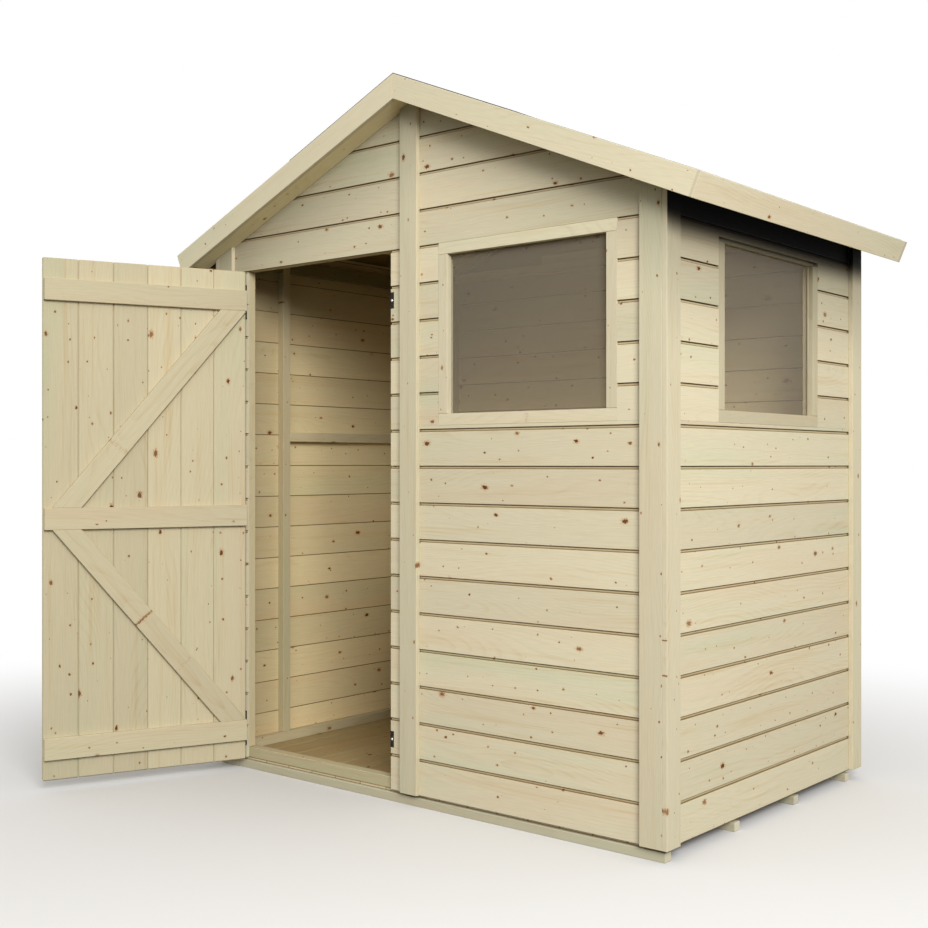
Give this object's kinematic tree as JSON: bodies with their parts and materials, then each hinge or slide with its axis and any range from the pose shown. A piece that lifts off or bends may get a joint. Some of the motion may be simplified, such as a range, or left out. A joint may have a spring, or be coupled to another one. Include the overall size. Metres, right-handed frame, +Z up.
{
  "type": "garden shed",
  "caption": "Small apex-roofed timber garden shed with shiplap walls, a ledged and braced door on strap hinges, fixed front and side windows, and a felted roof.",
  "frame": {"origin": "middle of the front floor joist on its underside, at ground level under the middle of the front wall", "axes": "+X to the right seen from the front, +Y from the front wall to the back wall, +Z up"},
  "size_m": [2.0912, 1.9486, 2.2337],
  "materials": {
    "cladding_timber": "planed softwood shiplap boards, pale, lightly knotted",
    "trim_timber": "planed softwood, pale",
    "frame_timber": "planed softwood, pale",
    "door_timber": "planed softwood, pale, lightly knotted",
    "floor_timber": "planed softwood boards",
    "roof_timber": "planed softwood boards",
    "window_sheet": "clear glazing sheet, slightly grey",
    "mineral_felt": "dark mineral roofing felt",
    "black_iron": "black painted steel, satin"
  },
  "bodies": {
    "shed": {"back_centre_trim": "trim_timber", "back_corner_trims": "trim_timber", "back_left_bargeboard": "trim_timber", "back_left_wall": "cladding_timber", "back_right_bargeboard": "trim_timber", "back_right_wall": "cladding_timber", "back_wall_frame": "frame_timber", "back_wall_rail": "frame_timber", "door_sill": "frame_timber", "floor_deck": "floor_timber", "floor_joists": "floor_timber", "front_centre_trim": "trim_timber", "front_corner_trims": "trim_timber", "front_left_bargeboard": "trim_timber", "front_right_bargeboard": "trim_timber", "front_wall_frame": "frame_timber", "front_wall_left_strip": "cladding_timber", "front_wall_over_door": "cladding_timber", "front_wall_right_strip": "cladding_timber", "front_wall_window_panel": "cladding_timber", "front_window_frame": "trim_timber", "front_window_pane": "window_sheet", "keep_plates": "black_iron", "left_eaves_plate": "frame_timber", "left_fascia": "trim_timber", "left_roof_boards": "roof_timber", "left_roof_frame": "frame_timber", "left_wall": "cladding_timber", "left_wall_frame": "frame_timber", "lower_hinge_plate": "black_iron", "right_eaves_plate": "frame_timber", "right_fascia": "trim_timber", "right_roof_boards": "roof_timber", "right_roof_frame": "frame_timber", "right_wall": "cladding_timber", "right_wall_frame": "frame_timber", "roof_felt": "mineral_felt", "side_window_frame": "trim_timber", "side_window_pane": "window_sheet", "upper_hinge_plate": "black_iron"},
    "door": {"door_boards": "door_timber", "door_ledges": "door_timber", "door_braces": "door_timber", "upper_hinge_strap": "black_iron", "lower_hinge_strap": "black_iron"}
  },
  "joints": [
    {"name": "door_hinge", "type": "hinge", "parent": "shed", "child": "door", "pos_m": [-0.7685, -0.026, 0], "axis": [0, 0, 1], "range_deg": [-53.2, 111.8]}
  ]
}
